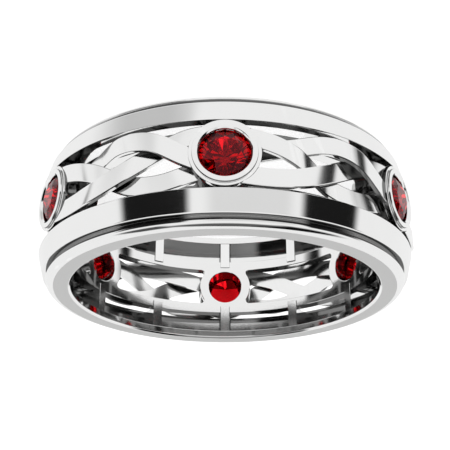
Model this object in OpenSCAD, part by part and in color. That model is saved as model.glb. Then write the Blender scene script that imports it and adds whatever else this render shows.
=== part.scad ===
// Ring of white metal with a three-strand ribbon braid and six round garnets in bezels.
// Millimetres. Z is the ring's axis. The ring lies on its side, so its lower side face is at z = 0.
// Radii in the profiles are heights above the finger hole, so the whole ring follows its bore.

/* [Finger hole and end rings] */
// Bore for the finger, across
bore_d = 19; // [18:0.1:20]
// Width of the ring along its axis
ring_w = 7.8; // [7.8:0.05:8.0]
// Chamfer at both rims of the bore
bore_chamfer = 0.12; // [0.06:0.02:0.2]
// Thickness of each end ring along the axis, which is also the radius of its round shoulder
end_w = 0.54; // [0.4:0.02:0.56]
// Height of the end rings above the bore
end_h = 1.58; // [1.5:0.02:1.62]
// Height above the bore at which the flank of an end ring starts, towards the rail
flank_foot = 1.33; // [1.32:0.01:1.34]

/* [Middle band] */
// Width of the pierced band in the middle of the sleeve
band_w = 3.9; // [3.7:0.05:3.9]
// Depth by which the middle band lies back from the bore
band_recess = 0.1; // [0.05:0.01:0.15]
// Wall of the middle band
band_t = 0.75; // [0.6:0.05:0.8]
// Height of the windows along the axis
window_h = 2.54; // [2.3:0.02:2.6]
// Radius of the windows' hollow ends, round the stone's axis
window_end_r = 1.82; // [1.75:0.01:1.9]
// Radius of the windows' corners
window_corner = 0.22; // [0.15:0.01:0.3]

/* [Outer rails] */
// Least gap between each end ring and the rail next to it
groove_w = 0.08; // [0.06:0.01:0.1]
// Height of the groove's floor above the bore
groove_floor = 1.36; // [1.36:0.01:1.4]
// Width of each outer rail along the axis
rail_w = 1.29; // [1.2:0.01:1.3]
// Height of the rails' inner wall above the bore
rail_in = 1.45; // [1.4:0.01:1.5]
// Height of the rail's edge beside the end ring
rail_low = 1.75; // [1.7:0.01:1.85]
// Height of the rail's edge beside the braid
rail_high = 2.05; // [1.95:0.01:2.1]
// Bevel along the rails' outer edges
rail_bevel = 0.06; // [0.03:0.01:0.08]

/* [Ribs] */
// Width of the ribs that carry the rails, as seen in the slots of the sleeve
rib_w = 0.66; // [0.5:0.02:0.8]
// Length of each rib's foot on the middle band
rib_foot = 0.45; // [0.3:0.05:0.5]

/* [Stones and bezels] */
// Garnet across the girdle
stone_d = 2.84; // [2.7:0.02:2.88]
// Bezel rim across
bezel_d = 3.5; // [3.4:0.02:3.6]
// Foot flange of the bezel across
flange_d = 3.88; // [3.7:0.02:3.9]
// Height of the bezel's rim above the bore
bezel_h = 2.27; // [2.2:0.01:2.35]
// Height of the crown over the girdle
crown_h = 0.38; // [0.3:0.02:0.42]
// Depth of the pavilion under the girdle
pavilion_h = 1.2; // [1.1:0.02:1.25]

/* [Braid] */
// Width of the braid's ribbons
strand_w = 1.08; // [0.9:0.02:1.08]
// Thickness of the ribbons
strand_t = 0.24; // [0.2:0.01:0.24]
// Swing of each ribbon to either side of the middle
swing = 1.38; // [1.37:0.01:1.39]
// Rise and dip of each ribbon where it goes over and under
weave = 0.46; // [0.45:0.01:0.48]
// Height of the ribbons' middle above the bore
strand_h = 1.6; // [1.58:0.01:1.64]
// Gap that is left round each bezel
strand_gap = 0.03; // [0.02:0.01:0.1]

/* [Hidden] */
$fn = 96;
metal_colour = "silver";
garnet_colour = [0.55, 0.02, 0.06];
bore_r = bore_d / 2;
mid_z = ring_w / 2;

// Stones stand at 30 degrees and every 60 degrees on, ribs at every 30 degrees
stone_count = 6;
stone_step = 360 / stone_count;
first_stone = stone_step / 2;
rib_step = stone_step / 2;

// Half widths of the sleeve's and rails' edges, measured from the middle of the ring
end_edge = ring_w / 2 - end_w;
rail_outer_edge = end_edge - groove_w;
rail_inner_edge = rail_outer_edge - rail_w;
band_edge = band_w / 2;

// A rib stands back from the bore and reaches into the rail and the end ring. Under the groove
// between them it lies low.
rib_setback = 0.02;
rib_root = 0.15;
rib_past_rail = 0.02;
rib_under_groove = 1.25;

// The groove's floor is a thin wall between the rail and the end ring
groove_under = 1.15;
groove_root = 0.2;
groove_wall = 0.25;

// Rise of the end ring's flank, towards its side face, for each millimetre further out
flank_slope = 1.1;

// The round corners bite this far into the metal, so that no two arcs only touch
overcut = 0.003;

// Cutters stand out of the metal by this much
clear = 0.6;

// The bezel's levels, as heights above the bore. The rim slants down inside to a thin lip, which
// lies over the stone's girdle.
lip_r = stone_d / 2 - 0.05;
rim_bevel = 0.04;
rim_in_r = bezel_d / 2 - 0.27;
lip_h = bezel_h - 0.12;
lip_t = 0.08;
lip_foot = lip_h - lip_t;
flange_top = bezel_h - 0.15;
flange_bottom = bezel_h - 0.47;
stone_gap = 0.04;
seat_r = stone_d / 2 + stone_gap;
seat_h = 0.2;
seat_foot = lip_foot - seat_h;
stone_hole_r = 1.18;
cone_h = 0.25;
tube_r = 1.6;

// The garnet's own levels, from the underside of its girdle
girdle_h = 0.06;
girdle_z = seat_foot + stone_gap;
table_r = 0.285 * stone_d;
star_share = 0.53;
lower_share = 0.24;
facet_count = 8;
facet_step = 360 / facet_count;

// The way of a ribbon through the braid, from one stone past the third after it. Then it repeats.
// The other two ribbons take the same way, one and two stones further on. Columns: angle from the
// stone, place across the ring as a share of the swing, height as a share of the weave.
way = [
    [0, 0.76, 0.9],
    [10, 0.13, 0.9],
    [20, -0.69, 0.92],
    [30, -0.92, 0.5],
    [40, -0.68, -0.58],
    [50, -0.35, -0.95],
    [60, 0.13, -0.5],
    [70, 0.72, -0.05],
    [80, 0.92, -0.48],
    [90, 0.64, -0.62],
    [100, -0.12, 0.48],
    [110, -0.57, 0.95],
    [120, -0.8, 0.7],
    [130, -0.83, 0.05],
    [140, -0.4, -0.35],
    [150, 0.28, 0.3],
    [160, 0.86, 1],
    [170, 1, 1]
];
way_across = 1;
way_height = 2;
way_step = way[1][0] - way[0][0];
strand_edge = 0.05;
strand_sections = 180;

// A solid of revolution about the ring's axis. The points are [height over the bore, height over
// the middle of the ring].
module turned(points) {
    translate([0, 0, mid_z])
        rotate_extrude()
            translate([bore_r, 0]) polygon(points);
}

// The same below the middle as above it
module both_sides() {
    children();
    translate([0, 0, ring_w]) mirror([0, 0, 1]) children();
}

// Places a piece that is drawn along Z on the stone's own axis, which points out of the ring
module at_stone(k) {
    translate([0, 0, mid_z])
        rotate([0, 0, first_stone + k * stone_step])
            rotate([0, 90, 0]) children();
}

// End ring: a flat side face, a round shoulder that ends in a slanted flank towards the rail, and a
// small chamfer at the bore
module end_ring() {
    translate([0, 0, mid_z]) rotate_extrude() translate([bore_r, end_edge]) {
        difference() {
            union() {
                square([end_h - end_w, end_w]);
                intersection() {
                    translate([end_h - end_w, 0]) circle(r = end_w);
                    square([end_h, end_w]);
                }
            }
            polygon([
                [-clear, end_w - bore_chamfer - clear],
                [bore_chamfer + clear, end_w + clear],
                [-clear, end_w + clear]
            ]);
            polygon([
                [flank_foot, 0],
                [flank_foot + clear, flank_slope * clear],
                [flank_foot + clear, -clear],
                [flank_foot, -clear]
            ]);
        }
    }
}

// Outer rail: a thin cone that is highest beside the braid, with bevelled edges, and the groove's
// floor on its outer side
module rail() {
    turned([
        [rail_in, rail_inner_edge],
        [rail_high - rail_bevel, rail_inner_edge],
        [rail_high, rail_inner_edge + rail_bevel],
        [rail_low, rail_outer_edge - rail_bevel],
        [rail_low - rail_bevel, rail_outer_edge],
        [groove_floor, rail_outer_edge],
        [groove_floor, end_edge + groove_root],
        [groove_under, end_edge + groove_root],
        [groove_under, rail_outer_edge - groove_wall],
        [rail_in, rail_outer_edge - groove_wall]
    ]);
}

// Rib: a foot on the middle band, a web across the slot and out to the rail, a root in the end ring
module rib() {
    foot_top = band_recess + band_t / 2;
    side = rail_inner_edge + rib_past_rail;
    translate([0, 0, mid_z])
        rotate([90, 0, 0])
            linear_extrude(height = rib_w, center = true)
                translate([bore_r, 0])
                    polygon([
                        [rib_setback, band_edge - rib_foot],
                        [foot_top, band_edge - rib_foot],
                        [foot_top, side],
                        [rail_in + rib_root, side],
                        [rail_in + rib_root, rail_outer_edge - rib_root],
                        [rib_under_groove, rail_outer_edge - rib_root],
                        [rib_under_groove, end_edge + rib_root],
                        [rib_setback, end_edge + rib_root]
                    ]);
}

// Outline of the metal left between two windows: a disc round the stone that flares into the
// edges of the band, with the windows' round corners cut into it
module window_web() {
    corner_y = window_h / 2 - window_corner;
    corner_x = sqrt(pow(window_end_r + window_corner, 2) - corner_y * corner_y);
    difference() {
        union() {
            circle(r = window_end_r);
            for (side = [-1, 1])
                polygon([[0, 0], [corner_x, side * corner_y], [corner_x, side * window_h],
                         [-corner_x, side * window_h], [-corner_x, side * corner_y]]);
        }
        for (x = [-corner_x, corner_x], y = [-corner_y, corner_y])
            translate([x, y]) circle(r = window_corner + overcut, $fn = 32);
    }
}

// Six windows as one ring of cutters, parted by the webs round the stones
module windows() {
    reach = band_recess + band_t + clear;
    web_reach = window_end_r;
    difference() {
        turned([[-clear, -window_h / 2], [reach, -window_h / 2],
                [reach, window_h / 2], [-clear, window_h / 2]]);
        for (k = [0 : stone_count - 1])
            at_stone(k)
                translate([0, 0, bore_r - web_reach])
                    linear_extrude(height = 2 * web_reach)
                        rotate([0, 0, 90]) window_web();
    }
}

// Middle band of the sleeve, pierced by the windows
module middle_band() {
    difference() {
        turned([
            [band_recess, -band_edge],
            [band_recess + band_t, -band_edge],
            [band_recess + band_t, band_edge],
            [band_recess, band_edge]
        ]);
        windows();
    }
}

// Bezel cup: a tube on the middle band, a foot flange and a flat rim. Its inside is cut later.
module bezel_cup() {
    foot = band_recess + band_t / 3;
    translate([0, 0, bore_r])
        rotate_extrude()
            polygon([
                [0, foot],
                [tube_r, foot],
                [tube_r, flange_bottom],
                [flange_d / 2 - rim_bevel, flange_bottom],
                [flange_d / 2, flange_bottom + rim_bevel],
                [flange_d / 2, flange_top - rim_bevel],
                [flange_d / 2 - rim_bevel, flange_top],
                [bezel_d / 2, flange_top],
                [bezel_d / 2, bezel_h - rim_bevel],
                [bezel_d / 2 - rim_bevel, bezel_h],
                [0, bezel_h]
            ]);
}

// Inside of a bezel: the hole through the sleeve, the seat, the room for the girdle, the lip and
// the slanted inside of the rim
module bezel_inside() {
    translate([0, 0, bore_r])
        rotate_extrude()
            polygon([
                [0, -clear],
                [stone_hole_r, -clear],
                [stone_hole_r, seat_foot - cone_h],
                [seat_r, seat_foot],
                [seat_r, lip_foot],
                [lip_r, lip_foot],
                [lip_r, lip_h],
                [rim_in_r, bezel_h],
                [rim_in_r, bezel_h + clear],
                [0, bezel_h + clear]
            ]);
}

module band() {
    color(metal_colour)
        difference() {
            union() {
                middle_band();
                both_sides() {
                    end_ring();
                    rail();
                    for (a = [0 : rib_step : 359]) rotate([0, 0, a]) rib();
                }
                for (k = [0 : stone_count - 1]) at_stone(k) bezel_cup();
            }
            for (k = [0 : stone_count - 1]) at_stone(k) bezel_inside();
        }
}

// A row of the way, counted on past its end
function way_row(i) = way[(i % len(way) + len(way)) % len(way)];

// Smooth curve through one column of the way, by its slope at the rows on either side
function along_way(angle, column) =
    let (
        i = floor(angle / way_step),
        f = angle / way_step - i,
        last = way_row(i - 1)[column],
        here = way_row(i)[column],
        next = way_row(i + 1)[column],
        after = way_row(i + 2)[column]
    )
    here + f * (next - last) / 2
        + f * f * (last - 2.5 * here + 2 * next - after / 2)
        + f * f * f * (1.5 * (here - next) + (after - last) / 2);

// Distance of a ribbon's middle line from the middle of the ring
function strand_across(angle) = swing * along_way(angle, way_across);

// One point of a ribbon. The angle is counted along the way, across its width is s and through its
// thickness h. Its height follows the point's own angle, so that lines along the ring's axis stay
// straight on its faces.
function strand_point(angle, s, h) =
    let (
        r = bore_r + strand_h,
        part = way_step / 4,
        run = 2 * part / 180 * PI * r,
        slope = atan((strand_across(angle + part) - strand_across(angle - part)) / run),
        own = angle - s * sin(slope) / r * 180 / PI,
        rise = weave * along_way(own, way_height) + h
    )
    [(r + rise) * cos(own), (r + rise) * sin(own), mid_z + strand_across(angle) + s * cos(slope)];

// Section of a ribbon: a flat strip with its two outer edges broken
function strand_section() =
    let (w = strand_w / 2, t = strand_t / 2, e = strand_edge)
    [[-w, -t], [w, -t], [w, t - e], [w - e, t], [e - w, t], [-w, t - e]];

// A ribbon as a closed loop round the ring
module strand_loop() {
    section = strand_section();
    n = len(section);
    m = strand_sections;
    points = [for (j = [0 : m - 1], p = section) strand_point(j * 360 / m, p[0], p[1])];
    faces = [for (j = [0 : m - 1], k = [0 : n - 1])
        let (
            a = j * n + k,
            b = j * n + (k + 1) % n,
            c = ((j + 1) % m) * n + (k + 1) % n,
            d = ((j + 1) % m) * n + k
        )
        each [[a, c, b], [a, d, c]]];
    polyhedron(points, faces);
}

// Ribbon i with a gap at each bezel
module braid_strand(i) {
    color(metal_colour)
        difference() {
            rotate([0, 0, first_stone + i * stone_step]) strand_loop();
            for (k = [0 : stone_count - 1])
                at_stone(k)
                    translate([0, 0, bore_r])
                        cylinder(r = flange_d / 2 + strand_gap, h = 2 * bezel_h);
        }
}

// A ring of points at one level of the garnet
function level(r, z, count, start) =
    [for (k = [0 : count - 1])
        [r * cos(start + k * 360 / count), r * sin(start + k * 360 / count), z]];

// Round brilliant: a table, 8 stars, 8 kites and 16 upper facets over a thin girdle, then 16 lower
// facets and 8 mains down to a point
module brilliant() {
    n = facet_count;
    girdle_r = stone_d / 2;
    half = facet_step / 2;
    star_r = (table_r + girdle_r) * star_share;
    star_z = girdle_h + crown_h * (1 - (star_r * cos(half) - table_r) / (girdle_r - table_r));
    lower_r = girdle_r * lower_share;
    lower_z = -pavilion_h * (1 - lower_r * cos(half) / girdle_r);
    points = concat(
        level(table_r, girdle_h + crown_h, n, 0),
        level(star_r, star_z, n, half),
        level(girdle_r, girdle_h, 2 * n, 0),
        level(girdle_r, 0, 2 * n, 0),
        level(lower_r, lower_z, n, half),
        [[0, 0, -pavilion_h]]
    );
    star = n;
    upper = 2 * n;
    under = 4 * n;
    lower = 6 * n;
    tip = 7 * n;
    faces = concat(
        [[for (k = [n - 1 : -1 : 0]) k]],
        [for (k = [0 : n - 1])
            let (
                next = (k + 1) % n,
                last = (k + n - 1) % n,
                g = 2 * k,
                gm = 2 * k + 1,
                gn = (2 * k + 2) % (2 * n)
            )
            each [
                [k, next, star + k],
                [k, star + k, upper + g, star + last],
                [star + k, upper + gm, upper + g],
                [star + k, upper + gn, upper + gm],
                [upper + g, upper + gm, under + gm, under + g],
                [upper + gm, upper + gn, under + gn, under + gm],
                [under + g, under + gm, lower + k],
                [under + gm, under + gn, lower + k],
                [under + g, lower + k, tip, lower + last]
            ]]
    );
    polyhedron(points, faces);
}

module garnet(k) {
    color(garnet_colour)
        at_stone(k) translate([0, 0, bore_r + girdle_z]) brilliant();
}

band();
braid_strand(0);  // braid_strand_1
braid_strand(1);  // braid_strand_2
braid_strand(2);  // braid_strand_3
garnet(0);  // garnet_1
garnet(1);  // garnet_2
garnet(2);  // garnet_3
garnet(3);  // garnet_4
garnet(4);  // garnet_5
garnet(5);  // garnet_6
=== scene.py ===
"""Looks of a wide ring of white metal with a ribbon braid and six round red stones.

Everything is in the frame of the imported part: metres, with +Z along the ring's axis and the ring
lying on its side. The sizes in the classes are in millimetres, and each piece is brought to metres
when it is finished.
"""

import logging
import math
from collections.abc import Callable, Iterable, Sequence
from dataclasses import dataclass
from enum import Enum, IntEnum

import bmesh
import bpy
from mathutils import Matrix, Vector


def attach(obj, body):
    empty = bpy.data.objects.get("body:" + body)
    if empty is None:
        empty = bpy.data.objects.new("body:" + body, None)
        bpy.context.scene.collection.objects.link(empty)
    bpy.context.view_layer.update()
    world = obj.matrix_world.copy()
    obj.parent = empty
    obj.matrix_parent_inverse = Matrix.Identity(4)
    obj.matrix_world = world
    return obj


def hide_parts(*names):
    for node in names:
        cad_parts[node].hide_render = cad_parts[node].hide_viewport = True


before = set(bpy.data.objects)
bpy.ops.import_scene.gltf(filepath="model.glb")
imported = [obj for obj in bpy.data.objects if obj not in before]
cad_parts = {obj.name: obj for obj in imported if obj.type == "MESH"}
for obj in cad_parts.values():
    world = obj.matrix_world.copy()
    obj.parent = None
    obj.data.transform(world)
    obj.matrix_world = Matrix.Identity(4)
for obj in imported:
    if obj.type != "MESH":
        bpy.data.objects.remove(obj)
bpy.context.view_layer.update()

MM = 0.001
BODY = "root"
log = logging.getLogger("ring")

# Millimetres within which two heights count as the same and within which a point counts as lying on
# a cut, and the angle in degrees past which an edge stays sharp on pieces with small bevels.
TOUCH = 1e-3
ON_PLANE = 1e-5
FINE_CREASE = 15.0

Point = tuple[float, float]
Colour = tuple[float, float, float]


class Side(Enum):
    """The two sides of the ring's middle plane."""

    UPPER = 1
    LOWER = -1


class Slot(Enum):
    """The record's material slots of the metal pieces."""

    BAND = "band_metal"
    BRAID = "braid_metal"


class Face(IntEnum):
    """Places of an end ring's finishes in its list of materials."""

    POLISHED = 0
    SATIN = 1
    # painted shade: darker metal that stands in for the shade in the groove under the shoulder
    DULL = 2


# sizes shared by the pieces


@dataclass(frozen=True)
class RingSizes:
    """Sizes of the whole ring in millimetres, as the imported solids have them."""

    bore_r: float = 9.5
    width: float = 7.8
    stones: int = 6
    first_stone: float = 30.0
    end_w: float = 0.54
    end_h: float = 1.58
    groove: float = 0.08
    rail_w: float = 1.29
    band_half: float = 1.95

    @property
    def middle(self) -> float:
        """Height of the middle plane over the floor."""
        return self.width / 2

    @property
    def end_edge(self) -> float:
        """Distance of an end ring's inner face from the middle plane."""
        return self.width / 2 - self.end_w

    @property
    def rail_outer(self) -> float:
        """Distance of a rail's outer edge from the middle plane."""
        return self.end_edge - self.groove

    @property
    def rail_inner(self) -> float:
        """Distance of a rail's inner edge from the middle plane."""
        return self.rail_outer - self.rail_w

    def stone_angle(self, index: int) -> float:
        """Angle of one stone about the ring's axis, in radians from +X."""
        return math.radians(self.first_stone + 360 / self.stones * index)


RING = RingSizes()


# mesh helpers


def arc(centre: Point, radius: float, start: float, end: float, steps: int) -> list[Point]:
    """Points of a circular arc.

    Args:
        centre: The arc's centre.
        radius: Its radius.
        start: First angle in degrees.
        end: Last angle in degrees.
        steps: Number of straight pieces.

    Returns:
        steps + 1 points from start to end.
    """
    angles = (math.radians(start + (end - start) * k / steps) for k in range(steps + 1))
    return [(centre[0] + radius * math.cos(a), centre[1] + radius * math.sin(a)) for a in angles]


# A corner that turns less than this stays as it is. A rounding takes at most a share of a side, and
# its holding point lies further out by a factor, where the side is several roundings long.
SHARP_TURN = math.radians(20)
ROUNDING_SHARE = 0.4
HOLD_FACTOR = 1.3
HOLD_ROOM = 3


def softened(outline: Sequence[Point], radius: float, steps: int = 2) -> list[Point]:
    """An outline whose sharp corners are rounded a little, as polishing leaves them.

    A holding point beside each rounding keeps the shading of the flats level.

    Args:
        outline: Points of a closed outline.
        radius: Distance from a corner at which its rounding starts.
        steps: Straight pieces in each rounding.

    Returns:
        The points of the softened outline.
    """
    result: list[Point] = []
    count = len(outline)
    for k, here in enumerate(outline):
        corner = Vector(here)
        back = Vector(outline[k - 1]) - corner
        ahead = Vector(outline[(k + 1) % count]) - corner
        if math.pi - back.angle(ahead) < SHARP_TURN:
            result.append(here)
            continue
        reach = min(radius, back.length * ROUNDING_SHARE, ahead.length * ROUNDING_SHARE)
        first, last = corner + back.normalized() * reach, corner + ahead.normalized() * reach
        rounding = [
            first * (1 - t) ** 2 + corner * 2 * t * (1 - t) + last * t**2
            for t in (j / steps for j in range(steps + 1))
        ]
        if back.length > HOLD_ROOM * reach:
            rounding.insert(0, corner + back.normalized() * reach * HOLD_FACTOR)
        if ahead.length > HOLD_ROOM * reach:
            rounding.append(corner + ahead.normalized() * reach * HOLD_FACTOR)
        result.extend((point.x, point.y) for point in rounding)
    return result


def turned(profile: Sequence[Point], segments: int, lift: float = 0.0) -> bmesh.types.BMesh:
    """A closed profile spun once round the Z axis.

    Args:
        profile: Closed outline as (radius, height) in millimetres.
        segments: Steps of the full turn.
        lift: Height that is added to every point.

    Returns:
        The spun mesh with its faces pointing outwards.
    """
    bm = bmesh.new()
    verts = [bm.verts.new((r, 0.0, z + lift)) for r, z in profile]
    edges = [bm.edges.new((verts[k - 1], verts[k])) for k in range(len(verts))]
    bmesh.ops.spin(
        bm,
        geom=verts + edges,
        cent=(0, 0, 0),
        axis=(0, 0, 1),
        dvec=(0, 0, 0),
        angle=2 * math.pi,
        steps=segments,
        use_merge=True,
        use_normal_flip=False,
        use_duplicate=False,
    )
    tidy(bm)
    return bm


def tidy(bm: bmesh.types.BMesh, distance: float = 1e-4) -> None:
    """Merge doubled vertices, then point every face outwards."""
    bmesh.ops.remove_doubles(bm, verts=bm.verts[:], dist=distance)
    bmesh.ops.recalc_face_normals(bm, faces=bm.faces[:])


def plate(outline: Sequence[Point], thickness: float, bevel: float) -> bmesh.types.BMesh:
    """A flat plate with softened edges, cut from an outline in the XZ plane.

    Args:
        outline: Corners as (x, z) in millimetres.
        thickness: Thickness along Y, centred on the XZ plane.
        bevel: Width of the softened edges.

    Returns:
        The plate's mesh.
    """
    bm = bmesh.new()
    verts = [bm.verts.new((x, -thickness / 2, z)) for x, z in outline]
    face = bm.faces.new(verts)
    grown = bmesh.ops.extrude_face_region(bm, geom=[face])
    moved = [v for v in grown["geom"] if isinstance(v, bmesh.types.BMVert)]
    bmesh.ops.translate(bm, verts=moved, vec=(0, thickness, 0))
    tidy(bm)
    bmesh.ops.bevel(
        bm,
        geom=bm.edges[:],
        offset=bevel,
        offset_type="OFFSET",
        segments=2,
        affect="EDGES",
        profile=0.5,
        material=-1,
    )
    return bm


def cut_across(bm: bmesh.types.BMesh, place: float) -> None:
    """Cut new edges into a mesh all round it, without parting it.

    Args:
        bm: The mesh, which runs along X.
        place: Where along X it is cut.
    """
    bmesh.ops.bisect_plane(
        bm,
        geom=bm.verts[:] + bm.edges[:] + bm.faces[:],
        dist=ON_PLANE,
        plane_co=(place, 0, 0),
        plane_no=(1, 0, 0),
    )


def joined(parts: Iterable[bmesh.types.BMesh]) -> bmesh.types.BMesh:
    """Put several meshes together.

    Args:
        parts: The meshes, which are freed.

    Returns:
        One mesh that holds them all.
    """
    whole = bmesh.new()
    for part in parts:
        mesh = bpy.data.meshes.new("part")
        part.to_mesh(mesh)
        part.free()
        whole.from_mesh(mesh)
        bpy.data.meshes.remove(mesh)
    return whole


def set_on_side(bm: bmesh.types.BMesh, side: Side) -> None:
    """Mirror a mesh drawn for the upper side where it belongs on the lower one.

    Args:
        bm: The mesh, at its place on the ring.
        side: The side that it belongs on.
    """
    if side is Side.LOWER:
        bmesh.ops.scale(bm, verts=bm.verts[:], vec=(1, 1, -1))
        bmesh.ops.translate(bm, verts=bm.verts[:], vec=(0, 0, RING.width))
        bmesh.ops.reverse_faces(bm, faces=bm.faces[:])


def out_along_stone(bm: bmesh.types.BMesh, index: int) -> None:
    """Turn a piece drawn along +Z so that it stands on one stone's axis.

    Args:
        bm: The piece's mesh.
        index: Number of the stone, from 0.
    """
    place = (
        Matrix.Translation((0, 0, RING.middle))
        @ Matrix.Rotation(RING.stone_angle(index), 4, "Z")
        @ Matrix.Rotation(math.pi / 2, 4, "Y")
    )
    bmesh.ops.transform(bm, matrix=place, verts=bm.verts[:])


def finished(
    name: str,
    bm: bmesh.types.BMesh,
    materials: Sequence[bpy.types.Material],
    node: str,
    crease: float = 24.0,
) -> bpy.types.Object:
    """Make an object from a mesh in millimetres and hand it to the frame.

    Args:
        name: Name of the piece.
        bm: Its mesh, which is freed.
        materials: Materials in the order of the faces' indices.
        node: The CAD node that it stands for.
        crease: Angle in degrees past which an edge stays sharp.

    Returns:
        The new object, at the origin and in metres.
    """
    bmesh.ops.scale(bm, verts=bm.verts[:], vec=(MM, MM, MM))
    mesh = bpy.data.meshes.new(name)
    bm.to_mesh(mesh)
    bm.free()
    for material in materials:
        mesh.materials.append(material)
    mesh.polygons.foreach_set("use_smooth", [True] * len(mesh.polygons))
    mesh.set_sharp_from_angle(angle=math.radians(crease))
    piece = bpy.data.objects.new(name, mesh)
    bpy.context.scene.collection.objects.link(piece)
    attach(piece, BODY)
    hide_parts(node)
    log.info("%s: %d faces", name, len(mesh.polygons))
    return piece


# finishes


class ShaderSheet:
    """Adds and links the nodes of one shader tree."""

    def __init__(self, tree: bpy.types.NodeTree) -> None:
        """Start with an empty tree."""
        tree.nodes.clear()
        self.tree = tree

    def add(self, kind: str, inputs: dict | None = None, **settings: object) -> bpy.types.Node:
        """Add one node.

        Args:
            kind: The node's type without its ShaderNode prefix.
            inputs: Values or source sockets by input name or number.
            settings: Properties of the node itself.

        Returns:
            The new node.
        """
        node = self.tree.nodes.new("ShaderNode" + kind)
        for key, value in settings.items():
            setattr(node, key, value)
        for key, value in (inputs or {}).items():
            if isinstance(value, bpy.types.NodeSocket):
                self.tree.links.new(value, node.inputs[key])
            else:
                node.inputs[key].default_value = value
        return node

    def math(self, operation: str, *values: object) -> bpy.types.NodeSocket:
        """Add a Math node and return its result."""
        return self.add("Math", dict(enumerate(values)), operation=operation).outputs[0]

    def ramp(
        self, factor: bpy.types.NodeSocket, stops: Sequence[tuple[float, float]], mode: str = "LINEAR"
    ) -> bpy.types.NodeSocket:
        """Add a grey ramp.

        Args:
            factor: The value that is looked up.
            stops: Pairs of place and grey value, in rising order of place.
            mode: How the ramp runs between its stops.

        Returns:
            The ramp's output.
        """
        node = self.add("ValToRGB", {0: factor})
        ramp = node.color_ramp
        ramp.interpolation = mode
        while len(ramp.elements) < len(stops):
            ramp.elements.new(0.5)
        for element, (place, value) in zip(ramp.elements, sorted(stops)):
            element.position = place
            element.color = (value, value, value, 1)
        return node.outputs[0]

    def mix_colour(
        self, factor: object, first: object, second: object, blend: str = "MIX"
    ) -> bpy.types.NodeSocket:
        """Mix two colours.

        Args:
            factor: Share of the second colour.
            first: The first colour or the socket that gives it.
            second: The second colour or the socket that gives it.
            blend: How the second is laid over the first.

        Returns:
            The mixed colour.
        """
        sockets = {0: factor, 6: first, 7: second}
        return self.add("Mix", sockets, data_type="RGBA", blend_type=blend).outputs[2]

    def noise(
        self, place: bpy.types.NodeSocket, scale: float, detail: float, **inputs: float
    ) -> bpy.types.NodeSocket:
        """Add a noise pattern.

        Args:
            place: The coordinates that it reads.
            scale: Its scale, in patterns a metre.
            detail: Its levels of detail.
            inputs: Values of its other inputs by name.

        Returns:
            The pattern's value.
        """
        node = self.add("TexNoise", {"Vector": place, "Scale": scale, "Detail": detail, **inputs})
        return node.outputs[0]

    def bump(
        self,
        height: bpy.types.NodeSocket,
        strength: float,
        depth: float,
        below: bpy.types.NodeSocket | None = None,
    ) -> bpy.types.NodeSocket:
        """Add a fine relief.

        Args:
            height: The pattern that gives its height.
            strength: How strongly it shows.
            depth: Its depth in metres.
            below: The normal of a relief that it lies on.

        Returns:
            The normal of the relief.
        """
        inputs = {"Strength": strength, "Distance": depth, "Height": height}
        if below is not None:
            inputs["Normal"] = below
        return self.add("Bump", inputs).outputs[0]


@dataclass(frozen=True)
class WhiteMetal:
    """Polished or satin white metal: fine haze, hairlines and slightly worn edges."""

    name: str
    tone: Colour = (0.93, 0.93, 0.925)
    cloud_shade: float = 0.955
    cloud_scale: float = 420.0
    roughness: float = 0.07
    haze: float = 0.04
    hairline: float = 0.02
    hairline_scale: float = 2600.0
    hairline_squash: float = 9.0
    hairline_depth: float = 0.00002
    grain: float = 0.0
    grain_scale: float = 9000.0
    grain_depth: float = 0.00003
    wear_from: float = 0.52
    wear_span: float = 0.1
    wear_rough: float = 0.06
    worn_tone: Colour = (0.97, 0.97, 0.965)

    def material(self) -> bpy.types.Material:
        """Build the finish.

        Returns:
            The metal's material.
        """
        made = bpy.data.materials.new(self.name)
        made.use_nodes = True
        sheet = ShaderSheet(made.node_tree)
        place = sheet.add("TexCoord").outputs["Object"]
        cloud = sheet.noise(place, self.cloud_scale, 4.0, Roughness=0.6)
        squash = (1.0, 1.0, self.hairline_squash)
        squashed = sheet.add("Mapping", {"Vector": place, "Scale": squash}).outputs[0]
        lines = sheet.noise(squashed, self.hairline_scale, 3.0, Distortion=0.4)
        edge = sheet.ramp(
            sheet.add("NewGeometry").outputs["Pointiness"],
            [(0.0, 0.0), (self.wear_from, 0.0), (self.wear_from + self.wear_span, 1.0)],
        )
        hazy = sheet.math("MULTIPLY_ADD", cloud, self.haze, self.roughness - self.haze / 2)
        rough = sheet.math("MULTIPLY_ADD", edge, self.wear_rough, hazy)
        low = tuple(self.cloud_shade * c for c in self.tone) + (1.0,)
        colour = sheet.mix_colour(cloud, low, self.tone + (1.0,))
        worn = sheet.mix_colour(edge, colour, self.worn_tone + (1.0,))
        relief = sheet.bump(lines, self.hairline, self.hairline_depth)
        if self.grain:
            sand = sheet.noise(place, self.grain_scale, 2.0)
            relief = sheet.bump(sand, self.grain, self.grain_depth, relief)
        shader = sheet.add(
            "BsdfPrincipled",
            {"Base Color": worn, "Metallic": 1.0, "Roughness": rough, "Normal": relief},
        )
        sheet.add("OutputMaterial", {"Surface": shader.outputs[0]})
        return made


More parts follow.
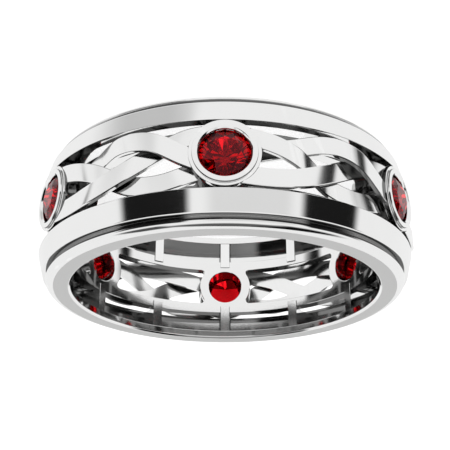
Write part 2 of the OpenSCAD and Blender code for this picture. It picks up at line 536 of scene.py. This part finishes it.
@dataclass(frozen=True)
class RedStone:
    """Clear deep red stone, cut and polished, with a little silk inside."""

    name: str
    tint: Colour = (0.80, 0.012, 0.022)
    sheen: Colour = (0.9, 0.18, 0.22)
    sheen_level: float = 0.3
    depth_tint: Colour = (0.65, 0.03, 0.05)
    depth_density: float = 1000.0
    ior: float = 1.76
    polish: float = 0.004
    silk_scale: float = 900.0
    silk_shade: float = 0.8
    silk_bump: float = 0.03
    silk_depth: float = 0.00001
    wear_from: float = 0.55
    wear_span: float = 0.15
    wear_rough: float = 0.05

    def material(self) -> bpy.types.Material:
        """Build the finish.

        Returns:
            The stone's material.
        """
        made = bpy.data.materials.new(self.name)
        made.use_nodes = True
        sheet = ShaderSheet(made.node_tree)
        place = sheet.add("TexCoord").outputs["Object"]
        silk = sheet.noise(place, self.silk_scale, 3.0)
        edge = sheet.ramp(
            sheet.add("NewGeometry").outputs["Pointiness"],
            [(0.0, 0.0), (self.wear_from, 0.0), (self.wear_from + self.wear_span, 1.0)],
        )
        deep = tuple(self.silk_shade * c for c in self.tint) + (1.0,)
        colour = sheet.mix_colour(silk, deep, self.tint + (1.0,))
        rough = sheet.math("MULTIPLY_ADD", edge, self.wear_rough, self.polish)
        relief = sheet.bump(silk, self.silk_bump, self.silk_depth)
        shader = sheet.add(
            "BsdfPrincipled",
            {
                "Base Color": colour,
                "Roughness": rough,
                "IOR": self.ior,
                "Specular IOR Level": self.sheen_level,
                "Specular Tint": self.sheen + (1.0,),
                "Transmission Weight": 1.0,
                "Normal": relief,
            },
        )
        depth = sheet.add(
            "VolumeAbsorption",
            {"Color": self.depth_tint + (1.0,), "Density": self.depth_density},
        )
        sheet.add("OutputMaterial", {"Surface": shader.outputs[0], "Volume": depth.outputs[0]})
        return made


# the sub-assemblies


@dataclass
class EndRing:
    """A side ring: satin side face, round shoulder, a flank in darker metal as painted shade of the
    groove, and a small chamfer at the bore.
    """

    side: Side
    polished: bpy.types.Material
    satin: bpy.types.Material
    dull: bpy.types.Material
    chamfer: float = 0.12
    flank_foot: float = 1.33
    flank_top: float = 24.0
    shoulder_steps: int = 12
    soft: float = 0.025
    segments: int = 288

    def profile(self) -> list[Point]:
        """Work out the upper ring's section.

        Returns:
            Its outline as (radius, height over the middle plane).
        """
        bore, face, edge = RING.bore_r, RING.width / 2, RING.end_edge
        outer = bore + RING.end_h
        centre = (outer - RING.end_w, edge)
        shoulder = arc(centre, RING.end_w, 90, self.flank_top, self.shoulder_steps)
        corners = [(bore, edge), (bore, face - self.chamfer), (bore + self.chamfer, face)]
        return softened(corners + shoulder + [(bore + self.flank_foot, edge)], self.soft)

    def build(self) -> bpy.types.Object:
        """Spin the ring and mark its satin face and its flank.

        Returns:
            The piece.
        """
        bm = turned(self.profile(), self.segments, RING.middle)
        flank_r = RING.bore_r + self.flank_foot
        for face in bm.faces:
            centre = face.calc_center_median()
            level = face.normal.z > 0.99
            overhung = face.normal.z < -0.5
            if level and centre.z > RING.width - TOUCH:
                face.material_index = Face.SATIN
            # painted shade: the overhung flank facing into the groove gets the darker metal in place
            # of the groove's shade
            elif overhung and math.hypot(centre.x, centre.y) > flank_r:
                face.material_index = Face.DULL
        set_on_side(bm, self.side)
        name = "end_ring_" + self.side.name.lower()
        finishes = {Face.POLISHED: self.polished, Face.SATIN: self.satin, Face.DULL: self.dull}
        return finished(name, bm, [finishes[place] for place in Face], "band")


@dataclass
class OuterRail:
    """A thin conical rail beside the braid, with bevelled edges and the groove's floor."""

    side: Side
    polished: bpy.types.Material
    inner_h: float = 1.45
    low_h: float = 1.75
    high_h: float = 2.05
    bevel: float = 0.06
    bevel_drop: float = 0.045
    braid_bevel: float = 0.02
    floor_h: float = 1.36
    under_h: float = 1.15
    root: float = 0.2
    wall: float = 0.25
    soft: float = 0.012
    segments: int = 288

    def profile(self) -> list[Point]:
        """Work out the upper rail's section.

        Returns:
            Its outline as (radius, height over the middle plane).
        """
        bore, outer, inner, b = RING.bore_r, RING.rail_outer, RING.rail_inner, self.bevel
        fine = self.braid_bevel
        corners = [
            (bore + self.inner_h, inner),
            (bore + self.high_h - fine, inner),
            (bore + self.high_h, inner + fine),
            (bore + self.low_h, outer - b),
            (bore + self.low_h - self.bevel_drop, outer),
            (bore + self.floor_h, outer),
            (bore + self.floor_h, RING.end_edge + self.root),
            (bore + self.under_h, RING.end_edge + self.root),
            (bore + self.under_h, outer - self.wall),
            (bore + self.inner_h, outer - self.wall),
        ]
        return softened(corners, self.soft)

    def build(self) -> bpy.types.Object:
        """Spin the rail.

        Returns:
            The piece.
        """
        bm = turned(self.profile(), self.segments, RING.middle)
        set_on_side(bm, self.side)
        return finished("rail_" + self.side.name.lower(), bm, [self.polished], "band")


@dataclass
class RibRow:
    """Twelve ribs that join the middle band, one end ring and one rail."""

    side: Side
    polished: bpy.types.Material
    count: int = 12
    width: float = 0.66
    foot: float = 0.45
    foot_h: float = 0.47
    rail_h: float = 1.5
    setback: float = 0.02
    root: float = 0.1
    under_groove: float = 1.25
    bevel: float = 0.03

    def outline(self) -> list[Point]:
        """Work out one rib's outline.

        Returns:
            Its corners as (radius, height over the middle plane).
        """
        bore, band, end = RING.bore_r, RING.band_half, RING.end_edge
        foot_top, rail = bore + self.foot_h, bore + self.rail_h
        side = RING.rail_inner + self.setback
        return [
            (bore + self.setback, band - self.foot),
            (foot_top, band - self.foot),
            (foot_top, side),
            (rail, side),
            (rail, RING.rail_outer - self.root),
            (bore + self.under_groove, RING.rail_outer - self.root),
            (bore + self.under_groove, end + self.root),
            (bore + self.setback, end + self.root),
        ]

    def build(self) -> bpy.types.Object:
        """Cut the ribs round the ring.

        Returns:
            The piece that holds all of them.
        """
        ribs = []
        for k in range(self.count):
            rib = plate(self.outline(), self.width, self.bevel)
            turn = Matrix.Rotation(2 * math.pi * k / self.count, 4, "Z")
            bmesh.ops.transform(
                rib, matrix=turn @ Matrix.Translation((0, 0, RING.middle)), verts=rib.verts[:]
            )
            ribs.append(rib)
        bm = joined(ribs)
        set_on_side(bm, self.side)
        name = "ribs_" + self.side.name.lower()
        return finished(name, bm, [self.polished], "band", FINE_CREASE)


@dataclass
class PiercedSleeve:
    """The middle band, pierced by six windows and the six holes under the stones.

    It is cut flat and then bent. Near each stone it is bent so that the window's ends stay round
    about the stone's axis, and past that evenly.
    """

    polished: bpy.types.Material
    inner_h: float = 0.1
    wall: float = 0.75
    window_h: float = 2.54
    end_r: float = 1.82
    end_steps: int = 12
    corner: float = 0.22
    corner_steps: int = 8
    hole_r: float = 1.18
    hole_points: int = 64
    bevel: float = 0.035
    cuts: int = 40
    spare: float = 4.0
    round_to: float = 2.0
    even_from: float = 0.2

    @property
    def pitch(self) -> float:
        """Length of one stone's share of the strip while it is flat."""
        return 2 * (RING.bore_r + self.inner_h) * math.sin(math.pi / RING.stones)

    def window(self, middle: float) -> list[Point]:
        """Outline of one window on the flat strip.

        Args:
            middle: Place of the window's middle along the strip.

        Returns:
            Points of the closed outline.
        """
        cy = self.window_h / 2 - self.corner
        cx = math.sqrt((self.end_r + self.corner) ** 2 - cy * cy)
        tilt = math.degrees(math.atan2(cy, cx))
        stone = -self.pitch / 2
        left = arc((stone, 0), self.end_r, 0, tilt, self.end_steps)
        left += arc((stone + cx, cy), self.corner, 180 + tilt, 90, self.corner_steps)[1:]
        upper = left + [(-x, y) for x, y in reversed(left)]
        lower = [(x, -y) for x, y in reversed(upper)][1:-1]
        return [(middle + x, y) for x, y in upper + lower]

    def flat_strip(self) -> bmesh.types.BMesh:
        """Cut the pierced strip before it is bent.

        Returns:
            Its mesh, a little too long at both ends, with softened edges round its openings.
        """
        half = RING.band_half
        first, last = -self.pitch / 2 - self.spare, (RING.stones - 0.5) * self.pitch + self.spare
        outlines = [[(first, -half), (last, -half), (last, half), (first, half)]]
        outlines += [self.window((k - 0.5) * self.pitch) for k in range(RING.stones + 1)]
        steps = self.hole_points - 1
        end = 360 * steps / self.hole_points
        outlines += [
            arc((k * self.pitch, 0), self.hole_r, 0, end, steps) for k in range(RING.stones)
        ]
        curve = bpy.data.curves.new("strip", "CURVE")
        curve.dimensions = "2D"
        curve.fill_mode = "BOTH"
        curve.extrude = self.wall / 2 - self.bevel
        curve.bevel_depth = self.bevel
        curve.bevel_resolution = 1
        curve.offset = -self.bevel
        for outline in outlines:
            spline = curve.splines.new("POLY")
            spline.points.add(len(outline) - 1)
            for point, (x, y) in zip(spline.points, outline):
                point.co = (x, y, 0, 1)
            spline.use_cyclic_u = True
        holder = bpy.data.objects.new("strip", curve)
        bpy.context.scene.collection.objects.link(holder)
        graph = bpy.context.evaluated_depsgraph_get()
        mesh = bpy.data.meshes.new_from_object(holder.evaluated_get(graph))
        bm = bmesh.new()
        bm.from_mesh(mesh)
        bpy.data.objects.remove(holder)
        bpy.data.curves.remove(curve)
        bpy.data.meshes.remove(mesh)
        bmesh.ops.remove_doubles(bm, verts=bm.verts[:], dist=TOUCH)
        return bm

    def bend(self, point: Vector) -> Vector:
        """Where a point of the flat strip lies on the ring.

        Args:
            point: Place on the strip: along it, along the ring's axis, and out of the strip.

        Returns:
            The bent point.
        """
        index = round(point.x / self.pitch)
        local = point.x - index * self.pitch
        radius = RING.bore_r + self.inner_h + self.wall / 2 + point.z
        straight = math.asin(max(-1.0, min(1.0, local / radius)))
        even = local / self.pitch * 2 * math.pi / RING.stones
        way = self.pitch / 2 - self.even_from - self.round_to
        t = max(0.0, min(1.0, (abs(local) - self.round_to) / way))
        share = t * t * (3 - 2 * t)
        angle = RING.stone_angle(index) + straight * (1 - share) + even * share
        return Vector((radius * math.cos(angle), radius * math.sin(angle), RING.middle + point.y))

    def build(self) -> bpy.types.Object:
        """Trim the strip, cut it across into short steps and bend it into the band.

        Returns:
            The piece.
        """
        bm = self.flat_strip()
        start, end = -self.pitch / 2, (RING.stones - 0.5) * self.pitch
        for place, way in ((start, -1), (end, 1)):
            bmesh.ops.bisect_plane(
                bm,
                geom=bm.verts[:] + bm.edges[:] + bm.faces[:],
                dist=ON_PLANE,
                plane_co=(place, 0, 0),
                plane_no=(way, 0, 0),
                clear_outer=True,
            )
        total = self.cuts * RING.stones
        for k in range(1, total):
            cut_across(bm, start + (end - start) * k / total)
        for vert in bm.verts:
            vert.co = self.bend(vert.co)
        tidy(bm, 2 * TOUCH)
        return finished("middle_band", bm, [self.polished], "band", FINE_CREASE)


@dataclass
class BezelCup:
    """A bezel: tube, flange under the rim, and a rim that slants down inside to the stone's lip."""

    index: int
    polished: bpy.types.Material
    height: float = 2.27
    rim_r: float = 1.75
    rim_in: float = 1.48
    rim_step: float = 0.15
    flange_r: float = 1.94
    flange_h: float = 0.32
    lip_depth: float = 0.12
    lip_r: float = 1.37
    lip_t: float = 0.08
    seat_r: float = 1.46
    seat_h: float = 0.2
    seat_slope: float = 0.25
    hole_r: float = 1.18
    tube_r: float = 1.6
    foot: float = 0.3
    soft: float = 0.03
    segments: int = 96

    def profile(self) -> list[Point]:
        """Work out the cup's section.

        Returns:
            Its outline as (distance from the cup's axis, distance from the ring's).
        """
        top, bore = self.height, RING.bore_r
        flange_top = top - self.rim_step
        flange_low = flange_top - self.flange_h
        lip = top - self.lip_depth
        lip_low = lip - self.lip_t
        seat = lip_low - self.seat_h
        corners = [
            (self.hole_r, self.foot),
            (self.tube_r, self.foot),
            (self.tube_r, flange_low),
            (self.flange_r, flange_low),
            (self.flange_r, flange_top),
            (self.rim_r, flange_top),
            (self.rim_r, top),
            (self.rim_in, top),
            (self.lip_r, lip),
            (self.lip_r, lip_low),
            (self.seat_r, lip_low),
            (self.seat_r, seat),
            (self.hole_r, seat - self.seat_slope),
        ]
        return [(r, bore + h) for r, h in softened(corners, self.soft)]

    def build(self) -> bpy.types.Object:
        """Spin the cup and stand it on its stone's axis.

        Returns:
            The piece.
        """
        bm = turned(self.profile(), self.segments)
        out_along_stone(bm, self.index)
        return finished(f"bezel_{self.index + 1}", bm, [self.polished], "band")


@dataclass(frozen=True)
class WayRow:
    """One row of a ribbon's way: degrees past a stone, and its place and height as shares."""

    angle: float
    across: float
    height: float


RIBBONS = 3
BRAID_WAY = (
    WayRow(0, 0.76, 0.9),
    WayRow(10, 0.13, 0.9),
    WayRow(20, -0.69, 0.92),
    WayRow(30, -0.92, 0.5),
    WayRow(40, -0.68, -0.58),
    WayRow(50, -0.35, -0.95),
    WayRow(60, 0.13, -0.5),
    WayRow(70, 0.72, -0.05),
    WayRow(80, 0.92, -0.48),
    WayRow(90, 0.64, -0.62),
    WayRow(100, -0.12, 0.48),
    WayRow(110, -0.57, 0.95),
    WayRow(120, -0.8, 0.7),
    WayRow(130, -0.83, 0.05),
    WayRow(140, -0.4, -0.35),
    WayRow(150, 0.28, 0.3),
    WayRow(160, 0.86, 1.0),
    WayRow(170, 1.0, 1.0),
)


@dataclass
class BraidRibbon:
    """One flat ribbon of the braid, in six stretches from bezel to bezel."""

    index: int
    polished: bpy.types.Material
    width: float = 1.08
    thickness: float = 0.24
    swing: float = 1.38
    weave: float = 0.46
    height: float = 1.6
    gap: float = 0.03
    flange_r: float = 1.94
    edge: float = 0.05
    steps: int = 110
    slope_reach: float = 2.5
    halvings: int = 28
    way: tuple[WayRow, ...] = BRAID_WAY

    def along(self, angle: float, column: Callable[[WayRow], float]) -> float:
        """A smooth curve through one column of the way.

        Args:
            angle: Angle past the ribbon's first stone in radians.
            column: Picks the column from a row.

        Returns:
            The column's value at the angle.
        """
        place = math.degrees(angle) / (self.way[1].angle - self.way[0].angle)
        row = math.floor(place)
        f = place - row
        last, here, ahead, after = (
            column(self.way[(row + k) % len(self.way)]) for k in (-1, 0, 1, 2)
        )
        bend = last - 2.5 * here + 2 * ahead - after / 2
        twist = 1.5 * (here - ahead) + (after - last) / 2
        return here + f * (ahead - last) / 2 + f**2 * bend + f**3 * twist

    def across_at(self, angle: float) -> float:
        """Distance of the ribbon's middle line from the middle plane."""
        return self.swing * self.along(angle, lambda row: row.across)

    def place(self, angle: float, across: float, out: float) -> Vector:
        """Where a point of the straight ribbon lies on the ring.

        The height follows the point's own angle, so lines along the ring's axis stay straight.

        Args:
            angle: Angle about the ring's axis in radians.
            across: Distance from the ribbon's middle line, across its width.
            out: Distance from the ribbon's middle layer, outwards.

        Returns:
            The point in millimetres.
        """
        r = RING.bore_r + self.height
        start = RING.stone_angle(self.index)
        part = math.radians(self.slope_reach)
        ahead, behind = (self.across_at(angle - start + step) for step in (part, -part))
        slope = math.atan2(ahead - behind, 2 * part * r)
        turn = angle - across * math.sin(slope) / r
        rise = self.weave * self.along(turn - start, lambda row: row.height)
        z = RING.middle + self.across_at(angle - start) + across * math.cos(slope)
        return Vector(((r + rise + out) * math.cos(turn), (r + rise + out) * math.sin(turn), z))

    def cut(self, stone: float, far: float, across: float, out: float) -> float:
        """The angle at which the ribbon meets the cut round a bezel.

        Args:
            stone: The stone's angle.
            far: An angle well outside the cut.
            across: The point's place across the ribbon.
            out: The point's place through the ribbon.

        Returns:
            The angle at the edge of the cut.
        """
        limit = self.flange_r + self.gap
        near = stone
        for _ in range(self.halvings):
            middle = (near + far) / 2
            point = self.place(middle, across, out)
            aside = -point.x * math.sin(stone) + point.y * math.cos(stone)
            if math.hypot(aside, point.z - RING.middle) < limit:
                near = middle
            else:
                far = middle
        return far

    def straight_bar(self) -> bmesh.types.BMesh:
        """Make a straight bar that is bent into one stretch of the ribbon.

        Returns:
            A bar one unit long, with the ribbon's section and softened outer edges.
        """
        bm = bmesh.new()
        bmesh.ops.create_cube(bm, size=1.0)
        bmesh.ops.scale(bm, verts=bm.verts[:], vec=(1.0, self.width, self.thickness))
        outer = [
            e
            for e in bm.edges
            if abs(e.verts[0].co.x - e.verts[1].co.x) > 0.5 and e.verts[0].co.z > 0
        ]
        bmesh.ops.bevel(
            bm,
            geom=outer,
            offset=self.edge,
            offset_type="OFFSET",
            segments=2,
            affect="EDGES",
            profile=0.5,
            material=-1,
        )
        for k in range(1, self.steps):
            cut_across(bm, k / self.steps - 0.5)
        return bm

    def build(self) -> bpy.types.Object:
        """Bend a bar into each stretch between two bezels.

        Returns:
            The piece that holds all six stretches.
        """
        bar = self.straight_bar()
        parts = []
        for k in range(RING.stones):
            first, last = RING.stone_angle(k), RING.stone_angle(k + 1)
            middle = (first + last) / 2
            part = bar.copy()
            ends: dict[tuple[float, float], tuple[float, float]] = {}
            for vert in part.verts:
                key = (round(vert.co.y, 5), round(vert.co.z, 5))
                if key not in ends:
                    ends[key] = (self.cut(first, middle, *key), self.cut(last, middle, *key))
                start, end = ends[key]
                share = vert.co.x + 0.5
                vert.co = self.place(start + (end - start) * share, *key)
            parts.append(part)
        bar.free()
        bm = joined(parts)
        tidy(bm)
        name = f"ribbon_{self.index + 1}"
        node = f"braid_strand_{self.index + 1}"
        return finished(name, bm, [self.polished], node, FINE_CREASE)


@dataclass
class Garnets:
    """The six cut stones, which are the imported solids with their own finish."""

    stone: bpy.types.Material

    def dress(self) -> None:
        """Give each stone its finish."""
        for k in range(RING.stones):
            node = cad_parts[f"garnet_{k + 1}"]
            node.data.materials.clear()
            node.data.materials.append(self.stone)
            log.info("garnet_%d: finish", k + 1)


# the studio


@dataclass(frozen=True)
class Panel:
    """A black screen or a soft box in the light tent.

    Its sides are angles in degrees, counted from behind the camera towards the picture's right, and
    its heights are degrees over the lens's own level. Past its edges it fades into the tent.
    """

    left: float
    right: float
    low: float
    high: float
    shown: float
    edge: float = 10.0


PANELS = (
    Panel(-30, 30, -85, -55, 0.35, edge=15),
    Panel(40, 65, -80, -45, 0.05, edge=15),
    Panel(-60, -40, -60, -40, 0.3),
    Panel(-60, -25, -15, 20, 0.1, edge=6),
    Panel(-5, 35, -15, 20, 0.85),
    Panel(50, 80, -15, 20, 0.1, edge=6),
    Panel(-90, -80, 20, 25, 0.1, edge=5),
    Panel(95, 100, 20, 30, 0.1, edge=6),
    Panel(-120, -70, 50, 65, 0.75, edge=20),
)


@dataclass(frozen=True)
class LightTent:
    """White tent with black screens between its soft boxes, and small lamps for the stones.

    Light that was reflected twice or more is dimmed, which keeps the metal's hollows dark. Light
    that came through a stone shows the lamps, as round cells with darker gaps between them.
    """

    pitch: float
    cloth: float = 0.93
    panels: tuple[Panel, ...] = PANELS
    shine: float = 0.93
    second: float = 0.25
    third: float = 0.07
    gaps: float = 0.2
    lamps: float = 3.0
    lamp_scale: float = 4.0
    lamp_edge: float = 0.34
    gap_edge: float = 0.42

    def level(self, shown: float) -> float:
        """The light that polished metal shows at a given brightness of the picture."""
        return ((shown + 0.055) / 1.055) ** 2.4 / self.shine

    def grey(self, shown: float) -> tuple[float, float, float, float]:
        """The tent's colour where polished metal shows it at a given brightness."""
        return (self.level(shown),) * 3 + (1.0,)

    def within(
        self, sheet: ShaderSheet, place: bpy.types.NodeSocket, low: float, high: float, edge: float
    ) -> bpy.types.NodeSocket:
        """How much of a direction lies between two limits, with soft edges outside them."""
        limits = ((low - edge, low), (high + edge, high))
        rise, fall = (
            sheet.add(
                "MapRange",
                {"Value": place, "From Min": outside, "From Max": inside},
                interpolation_type="SMOOTHSTEP",
            ).outputs[0]
            for outside, inside in limits
        )
        return sheet.math("MULTIPLY", rise, fall)

    def painted(self, sheet: ShaderSheet) -> bpy.types.NodeSocket:
        """Paint the tent's inside.

        Args:
            sheet: The world's shader tree.

        Returns:
            The light that comes from each direction.
        """
        tilt = math.radians(self.pitch)
        ray = sheet.add("TexCoord").outputs["Generated"]
        right = (-1.0, 0.0, 0.0)
        back = (0.0, -math.cos(tilt), math.sin(tilt))
        above = (0.0, -math.sin(tilt), -math.cos(tilt))
        aside, behind, up = (
            sheet.add("VectorMath", {0: ray, 1: axis}, operation="DOT_PRODUCT").outputs["Value"]
            for axis in (right, back, above)
        )
        turn = sheet.math("ARCTAN2", aside, behind)
        around = sheet.math("MULTIPLY", turn, 180 / math.pi)
        height = sheet.math("MULTIPLY", sheet.math("ARCSINE", up), 180 / math.pi)
        light = self.grey(self.cloth)
        for panel in self.panels:
            across = self.within(sheet, around, panel.left, panel.right, panel.edge)
            upright = self.within(sheet, height, panel.low, panel.high, panel.edge)
            share = sheet.math("MULTIPLY", across, upright)
            light = sheet.mix_colour(share, light, self.grey(panel.shown))
        path = sheet.add("LightPath").outputs
        bounces = sheet.math("MULTIPLY", path["Glossy Depth"], 0.1)
        steps = [(0.0, 1.0), (0.15, self.second), (0.25, self.third)]
        dimmed = sheet.ramp(bounces, steps, "CONSTANT")
        inside = sheet.math("MINIMUM", path["Transmission Depth"], 1.0)
        cells = sheet.add("TexVoronoi", {"Vector": ray, "Scale": self.lamp_scale}).outputs["Distance"]
        sparkle = sheet.ramp(
            cells, [(0.0, self.lamps), (self.lamp_edge, self.lamps), (self.gap_edge, self.gaps)]
        )
        left = sheet.mix_colour(inside, dimmed, sparkle)
        return sheet.mix_colour(1.0, light, left, "MULTIPLY")


@dataclass
class Studio:
    """Floor, light tent and camera."""

    floor_half: float = 1.2
    floor_dark: Colour = (0.93, 0.93, 0.93)
    floor_pale: Colour = (0.95, 0.95, 0.95)
    floor_rough: float = 0.6
    floor_glow: float = 0.62
    mottle_scale: float = 40.0
    eye: tuple[float, float, float] = (0.0, -54.65, 26.54)
    pitch: float = 23.24
    focal_px: float = 927.7
    frame_px: float = 450.0
    sensor: float = 36.0
    nearest: float = 0.001
    farthest: float = 10.0

    def floor_finish(self) -> bpy.types.Material:
        """Build the floor's finish, which glows a little so that it shows nearly white.

        Returns:
            The floor's material.
        """
        made = bpy.data.materials.new("floor_white")
        made.use_nodes = True
        sheet = ShaderSheet(made.node_tree)
        place = sheet.add("TexCoord").outputs["Object"]
        mottle = sheet.noise(place, self.mottle_scale, 2.0)
        colour = sheet.mix_colour(mottle, self.floor_dark + (1.0,), self.floor_pale + (1.0,))
        shader = sheet.add(
            "BsdfPrincipled",
            {
                "Base Color": colour,
                "Roughness": self.floor_rough,
                "Emission Color": colour,
                "Emission Strength": self.floor_glow,
            },
        )
        sheet.add("OutputMaterial", {"Surface": shader.outputs[0]})
        return made

    def lay_floor(self) -> None:
        """A wide pale floor under the ring."""
        bm = bmesh.new()
        bmesh.ops.create_grid(bm, x_segments=1, y_segments=1, size=self.floor_half)
        mesh = bpy.data.meshes.new("floor")
        bm.to_mesh(mesh)
        bm.free()
        mesh.materials.append(self.floor_finish())
        floor = bpy.data.objects.new("floor", mesh)
        bpy.context.scene.collection.objects.link(floor)
        floor.visible_glossy = False

    def hang_tent(self) -> None:
        """Hang the light tent and keep what the camera sees past the floor white."""
        world = bpy.data.worlds.new("tent")
        bpy.context.scene.world = world
        world.use_nodes = True
        sheet = ShaderSheet(world.node_tree)
        light = LightTent(self.pitch).painted(sheet)
        seen = sheet.add("LightPath").outputs["Is Camera Ray"]
        shown = sheet.mix_colour(seen, light, (1.0, 1.0, 1.0, 1.0))
        ground = sheet.add("Background", {"Color": shown, "Strength": 1.0})
        sheet.add("OutputWorld", {"Surface": ground.outputs[0]})

    def set_camera(self) -> None:
        """The photograph's view: from above the ring, rolled half a turn."""
        lens = bpy.data.cameras.new("camera")
        lens.sensor_width = self.sensor
        lens.lens = self.focal_px / self.frame_px * self.sensor
        lens.clip_start = self.nearest
        lens.clip_end = self.farthest
        camera = bpy.data.objects.new("camera", lens)
        bpy.context.scene.collection.objects.link(camera)
        look = Matrix.Rotation(math.radians(90 - self.pitch), 4, "X")
        roll = Matrix.Rotation(math.pi, 4, "Z")
        place = Matrix.Translation(Vector(self.eye) * MM)
        camera.matrix_world = place @ look @ roll
        bpy.context.scene.camera = camera

    def build(self) -> None:
        """Set up everything round the ring."""
        self.lay_floor()
        self.hang_tent()
        self.set_camera()
        bpy.context.scene.view_settings.view_transform = "Standard"


def main() -> None:
    """Build the ring's pieces in order, then the studio."""
    logging.basicConfig(level=logging.INFO, format="%(name)s %(message)s")
    polished = WhiteMetal("polished_metal").material()
    braid = WhiteMetal("braid_metal", roughness=0.1).material()
    satin = WhiteMetal(
        "satin_metal",
        tone=(0.69, 0.69, 0.685),
        roughness=0.55,
        haze=0.08,
        grain=0.3,
        wear_from=0.65,
        worn_tone=(0.72, 0.72, 0.715),
    ).material()
    # painted shade: a darker tone of the metal for the end rings' flanks, in place of the shade in
    # the groove
    dull = WhiteMetal("groove_painted_shade", tone=(0.58, 0.58, 0.58), roughness=0.16).material()
    for side in Side:
        EndRing(side, polished, satin, dull).build()
        OuterRail(side, polished).build()
        RibRow(side, polished).build()
    PiercedSleeve(polished).build()
    for index in range(RING.stones):
        BezelCup(index, polished).build()
    for index in range(RIBBONS):
        BraidRibbon(index, braid).build()
    Garnets(RedStone("garnet_stone").material()).dress()
    Studio().build()


if __name__ == "__main__":
    main()
